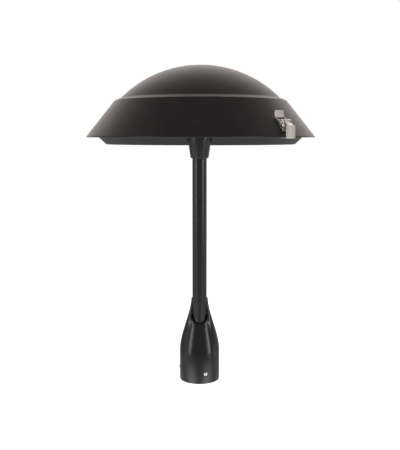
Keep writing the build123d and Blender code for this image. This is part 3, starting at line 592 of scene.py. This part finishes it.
@dataclass(frozen=True)
class HeadForm:
    """Form of the head's sheet, which everything on it is placed by.

    Attributes:
        centre: X and Y of the head's axis.
        rim_r: Radius over the rolled rim.
        rim_z: Height of the rim's lowest line.
        bead_r: Radius of the rolled rim's own section.
        corner: Radius and height where skirt and shelf meet.
        base: Radius and height where shelf and dome meet.
        top_z: Height of the dome's top.
        sheet: Thickness of the sheet.
    """

    centre: tuple[float, float] = (0.0, 0.265)
    rim_r: float = 0.2965
    rim_z: float = 0.5595
    bead_r: float = 0.0016
    corner: tuple[float, float] = (0.2232, 0.6529)
    base: tuple[float, float] = (0.2070, 0.6595)
    top_z: float = 0.745
    sheet: float = 0.002

    @property
    def bead(self) -> tuple[float, float]:
        """Radius and height of the middle of the rolled rim."""
        return self.rim_r - self.bead_r, self.rim_z + self.bead_r

    @property
    def slope(self) -> float:
        """Angle of the skirt above level."""
        run, fall = self.bead[0] - self.corner[0], self.corner[1] - self.bead[1]
        return atan2(fall, run) - asin(self.bead_r / hypot(run, fall))

    def on_skirt(self, origin: tuple[float, float], up: float, out: float) -> tuple[float, float]:
        """Go from a point up the skirt and out from it."""
        across, rise = sin(self.slope), cos(self.slope)
        return origin[0] - up * rise + out * across, origin[1] + up * across + out * rise

    def at(self, azimuth: float) -> Matrix:
        """Turn and move what is drawn round the Z axis to its place on the head."""
        return Matrix.Translation((*self.centre, 0)) @ Matrix.Rotation(radians(azimuth), 4, "Z")

    def square_on(self, azimuth: float, point: tuple[float, float]) -> Matrix:
        """Set what stands on the origin square on the skirt at a point."""
        lean = Matrix.Rotation(self.slope, 4, "Y")
        return self.at(azimuth) @ Matrix.Translation((point[0], 0, point[1])) @ lean

    def across(self, azimuth: float, point: tuple[float, float]) -> Matrix:
        """Lay what stands on the origin along the rim through a point."""
        turn = Matrix.Rotation(radians(-90), 4, "X")
        return self.at(azimuth) @ Matrix.Translation((point[0], 0, point[1])) @ turn


HEAD = HeadForm()


@dataclass
class Canopy:
    """Spun canopy with its rolled rim and the rivets in its skirt.

    Attributes:
        palette: The finishes.
        form: Form of the head.
        base_round: Rounding of the corners between skirt, shelf and dome.
        hinge_azimuth: Where the hinge is.
        latch_azimuth: Where the latch is.
        hinge_axis: Radius and height of the hinge's axis.
        latch_foot_up: Way up the skirt to the point nearest to the latch's pivot.
        hinge_rivets_up: Ways up from the hinge's foot to its two rows of rivets.
        latch_rivets_up: Ways up from the latch's foot to its two rows of rivets.
        hinge_rivets_apart: Distance between rivets in a row of the hinge.
        latch_rivets_apart: Distance between rivets in a row of the latch.
        rivet_r: Radius of a rivet's shank.
        rivet_head_r: Radius of its head.
        rivet_head_h: Height of its dome.
        plate: Thickness of what it holds to the skirt.
        straight_end: Way up the skirt at which its straight part ends above the bead.
        pole: Angle left open at the dome's top, in degrees, before it is closed to a point.
        roll: How far the rim is rolled, in degrees.
        steps: Steps of the dome outside and inside, and of the rolled rim.
    """

    palette: "Palette"
    form: HeadForm = HEAD
    base_round: float = 0.006
    hinge_azimuth: float = 135.0
    latch_azimuth: float = -45.0
    hinge_axis: tuple[float, float] = (0.3035, 0.5683)
    latch_foot_up: float = 0.0251
    hinge_rivets_up: tuple[float, float] = (0.028, 0.041)
    latch_rivets_up: tuple[float, float] = (0.0, 0.018)
    hinge_rivets_apart: float = 0.0228
    latch_rivets_apart: float = 0.015
    rivet_r: float = 0.0020
    rivet_head_r: float = 0.0036
    rivet_head_h: float = 0.0012
    plate: float = 0.002
    straight_end: float = 0.004
    pole: float = 0.15
    roll: float = 250.0
    steps: tuple[int, int, int] = (40, 20, 22)

    def _line(self, depth: float, steps: int) -> Outline:
        """Outline from the dome's top down the skirt, at a depth under the outer face."""
        form = self.form
        rise = form.top_z - form.base[1]
        dome_r = (form.base[0] ** 2 + rise**2) / (2 * rise)
        middle = (0.0, form.top_z - dome_r)
        shelf = atan2(form.base[1] - form.corner[1], form.corner[0] - form.base[0])
        dome_edge = asin(form.base[0] / dome_r)
        base = self._under(form.base, dome_edge, shelf, depth)
        corner = self._under(form.corner, shelf, form.slope, depth)
        edge = degrees(asin(base[0] / (dome_r - depth)))
        dome = arc(middle, dome_r - depth, 90 - self.pole, 90 - edge, steps)
        foot = form.on_skirt(form.bead, self.straight_end, form.bead_r - depth)
        return dome[:-3] + eased([dome[-3], base, corner, foot], self.base_round)

    def _under(
        self, point: tuple[float, float], a: float, b: float, depth: float
    ) -> tuple[float, float]:
        """Move a corner between two slopes under the sheet by a depth."""
        middle, reach = (a + b) / 2, depth / cos((a - b) / 2)
        return point[0] - reach * sin(middle), point[1] - reach * cos(middle)

    def shell(self) -> bpy.types.Object:
        """Spin the canopy's sheet with its rolled rim."""
        form = self.form
        outside, inside = self._line(0.0, self.steps[0]), self._line(form.sheet, self.steps[1])
        start = 90 - degrees(form.slope)
        bead = arc(form.bead, form.bead_r, start, start - self.roll, self.steps[2])
        piece = spun("canopy_sheet", outside + bead + inside[::-1])
        settle(piece, form.at(0.0), 50)
        self.palette.put(piece, Coat.BLACK)
        return finish_piece(piece, "canopy", ["canopy_shell"])

    def rivets(self) -> bpy.types.Object:
        """Make the domed rivets of the hinge leaf and the latch bracket."""
        head_z = self.plate + 0.0002
        dome = arc((0.0, head_z), 1.0, 0, 86, 8)
        crown = [(self.rivet_head_r * r, head_z + self.rivet_head_h * (z - head_z)) for r, z in dome]
        tail = self.rivet_head_r * 0.8
        low = -self.form.sheet - 0.001
        shank = [(tail * 0.85, low), (tail, low + 0.0003), (tail, -self.form.sheet - 0.00005)]
        shank += [(self.rivet_r, -self.form.sheet - 0.00005), (self.rivet_r, self.plate)]
        model = spun("rivet", shank + [(self.rivet_head_r, self.plate)] + crown, 28)
        places = [self.form.square_on(azimuth, point) for azimuth, point in self.spots()]
        piece = copies(model, "skirt_rivets", places)
        self.palette.put(piece, Coat.STAINLESS)
        return finish_piece(piece, "canopy", ["canopy_rivets"])

    def spots(self) -> list[tuple[float, tuple[float, float]]]:
        """Azimuth and point on the skirt of every rivet."""
        form = self.form
        across, rise = sin(form.slope), cos(form.slope)
        out = (self.hinge_axis[0] - form.corner[0]) * across
        out += (self.hinge_axis[1] - form.corner[1]) * rise
        hinge_foot = form.on_skirt(self.hinge_axis, 0, -out)
        latch_foot = form.on_skirt(form.bead, self.latch_foot_up, form.bead_r)
        spots = []
        for up in self.hinge_rivets_up:
            point = form.on_skirt(hinge_foot, up, 0)
            for side in (-1, 0, 1):
                turn = degrees(side * self.hinge_rivets_apart / point[0])
                spots.append((self.hinge_azimuth + turn, point))
        for up in self.latch_rivets_up:
            point = form.on_skirt(latch_foot, up, 0)
            for side in (-0.5, 0.5):
                turn = degrees(side * self.latch_rivets_apart / point[0])
                spots.append((self.latch_azimuth + turn, point))
        return spots

    def build(self) -> list[bpy.types.Object]:
        """Make the canopy's pieces."""
        return [self.shell(), self.rivets()]


@dataclass
class Latch:
    """Draw latch of pressed stainless sheet.

    Attributes:
        palette: The finishes.
        form: Form of the head.
        azimuth: Where the latch is.
        foot_up: Way up the skirt to the point under the pivot.
        pivot_out: How far the pivot stands off the skirt.
        claw_up: Way up from the pivot to the claw's pin.
        claw_out: Way out from the pivot to the claw's pin.
        edge: Rounding of the pressed sheet's edges.
        pivot_half: Half the pivot pin's length between its domes.
        claw_half: Half the claw pin's length between its ends.
        pivot_r: Radius of the pivot pin.
        claw_r: Radius of the claw pin.
        claw_end: Radius of the claw pin's ends against its shank's, and their height.
    """

    palette: "Palette"
    form: HeadForm = HEAD
    azimuth: float = -45.0
    foot_up: float = 0.0251
    pivot_out: float = 0.008
    claw_up: float = 0.0102
    claw_out: float = 0.0048
    edge: float = 0.0004
    pivot_half: float = 0.0166
    claw_half: float = 0.0163
    pivot_r: float = 0.0025
    claw_r: float = 0.0020
    claw_end: tuple[float, float] = (1.0, 0.0004)

    def _pin(
        self,
        name: str,
        radius: float,
        half: float,
        point: tuple[float, float],
        head_ratio: float = 1.6,
        head_h: float = 0.0016,
    ) -> bpy.types.Object:
        """Turn a pin with a domed end at each side and lay it in its ears.

        Args:
            name: Name of the pin.
            radius: Radius of its shank.
            half: Half its length between the domes.
            point: Where it lies, as radius and height.
            head_ratio: Radius of its heads against the shank's.
            head_h: Height of each dome.

        Returns:
            The pin.
        """
        head = radius * head_ratio
        dome = [(head * r, half + head_h * z) for r, z in arc((0.0, 0.0), 1.0, 0, 84, 8)]
        low = [(r, -z) for r, z in dome[::-1]]
        piece = spun(name, low + [(radius, -half), (radius, half)] + dome, 48)
        settle(piece, self.form.across(self.azimuth, point))
        self.palette.put(piece, Coat.PIN)
        return piece

    def build(self) -> list[bpy.types.Object]:
        """Make the latch's pieces."""
        foot = self.form.on_skirt(self.form.bead, self.foot_up, self.form.bead_r)
        pivot = self.form.on_skirt(foot, 0, self.pivot_out)
        claw = self.form.on_skirt(pivot, self.claw_up, self.claw_out)
        made = []
        pin = self._pin("pivot_pin", self.pivot_r, self.pivot_half, pivot)
        made.append(finish_piece(pin, "canopy", ["latch_pivot_pin"]))
        pin = self._pin("claw_cross_pin", self.claw_r, self.claw_half, claw, *self.claw_end)
        made.append(finish_piece(pin, "lever", ["claw_pin"]))
        for node, body in (("latch_bracket", "canopy"), ("latch_lever", "lever"), ("latch_claw", "claw")):
            piece = softened(node, node + "_pressed", self.edge)
            self.palette.put(piece, Coat.STAINLESS)
            made.append(finish_piece(piece, body, [node]))
        return made


def smooth(share: float) -> float:
    """Ease a share between 0 and 1 at both ends."""
    share = min(1.0, max(0.0, share))
    return share * share * (3.0 - 2.0 * share)


@dataclass
class Fitter:
    """Cast post-top fitter, open in front of the stem.

    Its back flares up into a half collar behind the stem. Its front is a lower, rounder
    shoulder with a round throat, and the two run into each other at the sides.

    Attributes:
        palette: The finishes.
        outer_r: Radius over the straight lower part.
        neck_r: Radius over the half collar's top.
        straight_h: Height of the straight part.
        height: Height over all.
        flare: Coefficients of the flare's curve for the square, cube and fourth power.
        throat_r: Radius of the throat round the stem.
        throat_z: Lowest and highest level of the throat.
        lip_z: Height of the throat's lip in front.
        lip_slope: Rise of the lip for each metre that it lies further back.
        front_lean: Lean of the front shoulder from upright, in degrees.
        crest: Size and length of the rounding under the lip.
        blend: Difference of radius over which shoulder and flare run into each other.
        sides: Angles from the front at which the back begins and from which it is all back.
        bore_r: Radius of the stem's bore.
        bore_z: Level of the seat that the stem stands on.
        cable_r: Radius of the hole under the stem.
        socket_r: Radius of the post's socket.
        socket_h: Depth of the socket.
        grub_azimuths: Where the stem's two grub screws are.
        grub_z: Height of the grub screws.
        set_azimuths: Where the post's three set screws are.
        set_z: Height of the set screws.
        screw_hole_r: Radius of the holes of both kinds of screw.
        least_r: Least radius of the shoulder, inside every bore.
        skin_from: Height above which the shoulder and the flare shape the outside.
        foot: Inset and height of the points that ease the lower edge.
        low_levels: Levels of the straight part's points.
        level_step: Distance between levels above it.
        past: How far the bores' cutter passes foot and top, and the holes' cutter the side.
        hole_start: Share of a bore's radius at which a screw hole's cutter begins.
        sides_round: Steps round the outside, the bores and the screw holes.
        sharp: Edges sharper than this stay sharp, in degrees.
    """

    palette: "Palette"
    outer_r: float = 0.046
    neck_r: float = 0.0188
    straight_h: float = 0.067
    height: float = 0.192
    flare: tuple[float, float, float] = (2.7524, -1.7346, -0.0178)
    throat_r: float = 0.020
    throat_z: tuple[float, float] = (0.097, 0.154)
    lip_z: float = 0.1345
    lip_slope: float = 1.05
    front_lean: float = 20.0
    crest: tuple[float, float] = (0.0025, 0.005)
    blend: float = 0.014
    sides: tuple[float, float] = (52.0, 88.0)
    bore_r: float = 0.01655
    bore_z: float = 0.088
    cable_r: float = 0.0135
    socket_r: float = 0.039
    socket_h: float = 0.084
    grub_azimuths: tuple[float, float] = (60.0, 120.0)
    grub_z: float = 0.0925
    set_azimuths: tuple[float, float, float] = (47.5, -72.5, 167.5)
    set_z: float = 0.024
    screw_hole_r: float = 0.004
    least_r: float = 0.008
    skin_from: float = 0.0335
    foot: tuple[tuple[float, float], ...] = ((0.001, 0.0), (0.0003, 0.0003), (0.0, 0.001))
    low_levels: tuple[float, float, float] = (0.02, 0.045, 0.057)
    level_step: float = 0.0025
    past: tuple[float, float, float] = (0.001, 0.002, 0.005)
    hole_start: float = 0.9
    sides_round: tuple[int, int, int] = (240, 160, 48)
    sharp: float = 38.0

    def _back(self, z: float) -> float:
        """Radius of the flare at a height."""
        share = max(0.0, (z - self.straight_h) / (self.height - self.straight_h))
        fall = sum(k * share**power for k, power in zip(self.flare, (2, 3, 4)))
        return self.outer_r - (self.outer_r - self.neck_r) * fall

    def _front(self, z: float, turn: float) -> float:
        """Radius of the front shoulder at a height and an angle from the front."""
        back = self._back(z)
        lip = self.lip_z + self.throat_r * (1 - cos(radians(turn))) * self.lip_slope
        size, length = self.crest
        below = lip - z
        line = self.throat_r + below * tan(radians(self.front_lean))
        line += size * (1 - exp(-below / length)) if below > 0 else below * size / length
        near = max(0.0, 1.0 - abs(back - line) / self.blend)
        return max(self.least_r, min(back, line) - near * near * self.blend / 4)

    def _skin(self, z: float, turn: float) -> float:
        """Radius of the outer face at a height and an angle from the front."""
        start, end = self.sides
        share = smooth((turn - start) / (end - start))
        front = self._front(z, min(turn, 90.0))
        return front + (self._back(z) - front) * share

    def _cut(self, piece: bpy.types.Object, cutter: bpy.types.Object) -> None:
        """Take a cutter's form out of the piece."""
        choose(piece)
        cut = piece.modifiers.new("cut", "BOOLEAN")
        cut.operation = "DIFFERENCE"
        cut.solver = "EXACT"
        cut.object = cutter
        bpy.ops.object.modifier_apply(modifier=cut.name)
        bpy.data.objects.remove(cutter)

    def _bores(self) -> bpy.types.Object:
        """Make the cutter of socket, cable hole, stem bore and throat."""
        low, high = self.throat_z
        return spun("bores", [
            (self.socket_r, -self.past[0]),
            (self.socket_r, self.socket_h),
            (self.cable_r, self.socket_h),
            (self.cable_r, self.bore_z),
            (self.bore_r, self.bore_z),
            (self.bore_r, low),
            (self.throat_r, low),
            (self.throat_r, high),
            (self.bore_r, high),
            (self.bore_r, self.height + self.past[1]),
        ], self.sides_round[1])

    def build(self) -> list[bpy.types.Object]:
        """Make the fitter's casting."""
        count = round((self.height - self.straight_h) / self.level_step) + 1
        levels = [*self.low_levels, *(self.straight_h + i * self.level_step for i in range(count))]
        foot = [(self.outer_r - inset, z) for inset, z in self.foot]
        line = foot + [(self._back(z), z) for z in levels]
        piece = spun("fitter_casting", line, self.sides_round[0])
        for vertex in piece.data.vertices:
            z = vertex.co.z + piece.location.z
            out = hypot(vertex.co.x, vertex.co.y)
            if z > self.skin_from and out > self.least_r:
                turn = degrees(acos(max(-1.0, min(1.0, -vertex.co.y / out))))
                vertex.co.xy *= self._skin(z, turn) / out
        self._cut(piece, self._bores())
        holes = [(azimuth, self.grub_z, self.bore_r) for azimuth in self.grub_azimuths]
        holes += [(azimuth, self.set_z, self.socket_r) for azimuth in self.set_azimuths]
        for azimuth, z, bore in holes:
            ends = (bore * self.hole_start, self.outer_r + self.past[2])
            line = [(self.screw_hole_r, end) for end in ends]
            hole = spun("screw_hole", line, self.sides_round[2])
            turn = Matrix.Rotation(radians(azimuth), 4, "Z") @ Matrix.Translation((0, 0, z))
            settle(hole, turn @ Matrix.Rotation(radians(90), 4, "Y"))
            self._cut(piece, hole)
        settle(piece, Matrix.Identity(4), self.sharp)
        self.palette.put(piece, Coat.SMOOTH)
        return [finish_piece(piece, "standard", ["post_fitter"])]


@dataclass
class CastParts:
    """Cast and formed black parts whose edges a caster would ease.

    Attributes:
        palette: The finishes.
        edges: Rounding of each node's edges, the body it rides on and its finish.
    """

    palette: "Palette"
    edges: dict[str, tuple[float, str, "Coat"]] = field(default_factory=lambda: {
        "arm_collar": (0.0007, "standard", Coat.SMOOTH),
        "tray_housing": (0.0006, "standard", Coat.BLACK),
        "hinge_bracket": (0.0005, "standard", Coat.BLACK),
        "hinge_leaf": (0.0004, "canopy", Coat.BLACK),
    })

    def build(self) -> list[bpy.types.Object]:
        """Make the eased parts."""
        made = []
        for node, (edge, body, coat) in self.edges.items():
            piece = softened(node, node + "_eased", edge)
            self.palette.put(piece, coat)
            made.append(finish_piece(piece, body, [node]))
        return made


def finish_piece(piece: bpy.types.Object, body: str, nodes: list[str]) -> bpy.types.Object:
    """Tell the frame what a piece rides on and stands for.

    Args:
        piece: The finished piece.
        body: The body that it moves with.
        nodes: The nodes that it replaces.

    Returns:
        The piece.
    """
    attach(piece, body)
    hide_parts(*nodes)
    LOG.info("made %s, %d faces", piece.name, len(piece.data.polygons))
    return piece


@dataclass(frozen=True)
class Lobe:
    """Part of the surroundings that reflections show, brighter towards one direction.

    Attributes:
        toward: The direction.
        start: Cosine to it at which the lobe begins.
        end: Cosine to it from which the lobe is at full strength.
        strength: Its strength there.
    """

    toward: tuple[float, float, float]
    start: float
    end: float
    strength: float


@dataclass
class Studio:
    """Floor, lamps, world and camera.

    Attributes:
        floor_z: Height of the floor, below the light's open socket.
        eye: Where the camera stands.
        pitch: How far the camera looks down, in degrees.
        heading: How far the camera turns to the left, in degrees.
        focal_px: Focal length in pixels of the 400 by 450 image.
        frame_px: Width and height of the image.
        warmth: Colour of the surroundings in reflections.
        fill: Strength of the plain light from all round.
        floor_glow: How bright the floor is to the camera, over the light it receives.
        floor_shine: How bright the floor is in reflections.
        pool_shine: How much brighter it is in its two pools.
        pool_reach: Distances at which the pools begin to fade and have faded.
        target: The middle of the light, which the lamps face.
        lamps: Name, place, size and power of each lamp.
        lobes: The surroundings that reflections show.
    """

    floor_z: float = -0.6
    eye: tuple[float, float, float] = (0.01585, -1.587, 0.563)
    pitch: float = 7.25
    heading: float = 0.535
    focal_px: float = 700.0
    frame_px: tuple[int, int] = (400, 450)
    warmth: tuple[float, float, float, float] = (1.0, 0.92, 0.88, 1.0)
    fill: float = 0.25
    floor_glow: float = 0.97
    floor_shine: float = 0.16
    pool_shine: float = 2.3
    pool_reach: tuple[float, float] = (2.1, 2.6)
    target: tuple[float, float, float] = (0.0, 0.13, 0.45)
    lamps: tuple[tuple, ...] = (
        ("left_softbox", (-2.12, -1.32, 0.9), (0.4, 1.7), 16.0),
        ("right_softbox", (2.12, -1.32, 0.9), (0.4, 1.7), 18.0),
        ("left_side_box", (-2.49, -0.22, 0.6), (0.6, 2.4), 4.0),
        ("right_side_box", (2.49, 0.25, 0.6), (0.6, 2.0), 3.0),
        ("back_box", (1.84, 1.54, 0.8), (0.8, 2.4), 2.5),
    )
    lobes: tuple[Lobe, ...] = (
        Lobe((0, 1, 0), -0.1, 0.8, 0.50),
        Lobe((0, 1, 0), 0.4, 1.0, 1.28),
        Lobe((0, -1, 0), 0.2, 1.0, 0.28),
        Lobe((0, 0, 1), 0.1, 0.9, 0.12),
    )

    def camera(self) -> None:
        """Place the camera at the photograph's angle."""
        turn = (radians(90 - self.pitch), 0, radians(self.heading))
        bpy.ops.object.camera_add(location=self.eye, rotation=turn)
        camera = bpy.context.object
        camera.data.sensor_width = 36.0
        camera.data.lens = self.focal_px * camera.data.sensor_width / max(self.frame_px)
        bpy.context.scene.camera = camera

    def lamp(
        self, name: str, place: tuple[float, float, float], size: tuple[float, float], watts: float
    ) -> None:
        """Add one soft rectangular lamp that faces the middle of the light.

        Args:
            name: Name of the lamp.
            place: Where it hangs.
            size: Width and height in metres.
            watts: Power.
        """
        aim = (Vector(self.target) - Vector(place)).to_track_quat("-Z", "Y").to_euler()
        bpy.ops.object.light_add(type="AREA", location=place, rotation=aim)
        lamp = bpy.context.object
        lamp.name = name
        lamp.data.shape = "RECTANGLE"
        lamp.data.size, lamp.data.size_y = size
        lamp.data.energy = watts

    def world(self) -> None:
        """White behind the light, dim all round for plain light, and lobes for reflections."""
        world = bpy.data.worlds.new("studio")
        bpy.context.scene.world = world
        world.use_nodes = True
        nodes, links = world.node_tree.nodes, world.node_tree.links
        nodes.clear()
        out = nodes.new("ShaderNodeOutputWorld")
        path = nodes.new("ShaderNodeLightPath")
        place = nodes.new("ShaderNodeTexCoord")
        total = 0.0
        for lobe in self.lobes:
            toward = nodes.new("ShaderNodeVectorMath")
            toward.operation = "DOT_PRODUCT"
            toward.inputs[1].default_value = lobe.toward
            links.new(place.outputs["Generated"], toward.inputs[0])
            rise = nodes.new("ShaderNodeMapRange")
            rise.interpolation_type = "SMOOTHSTEP"
            rise.inputs["From Min"].default_value = lobe.start
            rise.inputs["From Max"].default_value = lobe.end
            rise.inputs["To Max"].default_value = lobe.strength
            links.new(toward.outputs["Value"], rise.inputs["Value"])
            total = sum_up(world.node_tree, "ADD", rise.outputs["Result"], total)
        shine = nodes.new("ShaderNodeBackground")
        shine.inputs["Color"].default_value = self.warmth
        links.new(total, shine.inputs["Strength"])
        dim = nodes.new("ShaderNodeBackground")
        dim.inputs["Color"].default_value = (1.0, 1.0, 1.0, 1.0)
        dim.inputs["Strength"].default_value = self.fill
        seen = nodes.new("ShaderNodeBackground")
        seen.inputs["Color"].default_value = (1.0, 1.0, 1.0, 1.0)
        seen.inputs["Strength"].default_value = 1.0
        glossy = nodes.new("ShaderNodeMixShader")
        links.new(path.outputs["Is Glossy Ray"], glossy.inputs[0])
        links.new(dim.outputs[0], glossy.inputs[1])
        links.new(shine.outputs[0], glossy.inputs[2])
        rays = path.outputs
        clear = sum_up(world.node_tree, "MAXIMUM", rays["Is Camera Ray"], rays["Is Transmission Ray"])
        final = nodes.new("ShaderNodeMixShader")
        links.new(clear, final.inputs[0])
        links.new(glossy.outputs[0], final.inputs[1])
        links.new(seen.outputs[0], final.inputs[2])
        links.new(final.outputs[0], out.inputs["Surface"])

    def _pools(self, tree: bpy.types.NodeTree) -> bpy.types.NodeSocket:
        """Strength of the floor in reflections: even, with a soft pool to the left and the right."""
        nodes, links = tree.nodes, tree.links
        place = nodes.new("ShaderNodeTexCoord").outputs["Object"]
        split = nodes.new("ShaderNodeSeparateXYZ")
        links.new(place, split.inputs[0])
        square = nodes.new("ShaderNodeVectorMath")
        square.operation = "DOT_PRODUCT"
        links.new(place, square.inputs[0])
        links.new(place, square.inputs[1])
        near = nodes.new("ShaderNodeMapRange")
        near.interpolation_type = "SMOOTHSTEP"
        near.inputs["From Min"].default_value = self.pool_reach[1] ** 2
        near.inputs["From Max"].default_value = self.pool_reach[0] ** 2
        near.inputs["To Max"].default_value = self.pool_shine
        links.new(square.outputs["Value"], near.inputs["Value"])
        # |X| times -Y over the square, doubled, is 1 halfway between straight ahead and sideways.
        value = sum_up(tree, "ABSOLUTE", split.outputs["X"])
        for operation, other in (
            ("MULTIPLY", split.outputs["Y"]),
            ("DIVIDE", square.outputs["Value"]),
            ("MULTIPLY", -2.0),
            ("MAXIMUM", 0.0),
            ("POWER", 2.0),
            ("MULTIPLY", near.outputs["Result"]),
            ("ADD", self.floor_shine),
        ):
            value = sum_up(tree, operation, value, other)
        return value

    def floor(self) -> None:
        """Lay a pale floor that keeps the light's shadow and reads white to the camera."""
        bpy.ops.mesh.primitive_plane_add(size=60.0, location=(0.0, 0.0, self.floor_z))
        floor = bpy.context.object
        floor.name = "studio_floor"
        material = bpy.data.materials.new("pale_floor")
        material.use_nodes = True
        nodes, links = material.node_tree.nodes, material.node_tree.links
        shader = nodes["Principled BSDF"]
        shader.inputs["Base Color"].default_value = (0.86, 0.86, 0.86, 1.0)
        shader.inputs["Roughness"].default_value = 0.9
        shader.inputs["Specular IOR Level"].default_value = 0.0
        path = nodes.new("ShaderNodeLightPath")
        tree, rays = material.node_tree, path.outputs
        either = sum_up(tree, "MAXIMUM", rays["Is Camera Ray"], rays["Is Transmission Ray"])
        seen = sum_up(tree, "MULTIPLY", either, self.floor_glow)
        glow = nodes.new("ShaderNodeEmission")
        strength = sum_up(tree, "MULTIPLY_ADD", rays["Is Glossy Ray"], self._pools(tree), seen)
        links.new(strength, glow.inputs["Strength"])
        both = nodes.new("ShaderNodeAddShader")
        links.new(shader.outputs[0], both.inputs[0])
        links.new(glow.outputs[0], both.inputs[1])
        links.new(both.outputs[0], nodes["Material Output"].inputs["Surface"])
        floor.data.materials.append(material)

    def build(self) -> None:
        """Set the whole studio."""
        bpy.context.scene.view_settings.view_transform = "Standard"
        self.world()
        self.floor()
        for name, place, size, watts in self.lamps:
            self.lamp(name, place, size, watts)
        self.camera()


def main() -> None:
    """Build the light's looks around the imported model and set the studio."""
    logging.basicConfig(level=logging.INFO, format="%(name)s: %(message)s")
    palette = Palette()
    dress_frame(palette)
    for assembly in (Canopy(palette), Latch(palette), Fitter(palette), CastParts(palette)):
        assembly.build()
    Studio().build()


if __name__ == "__main__":
    main()
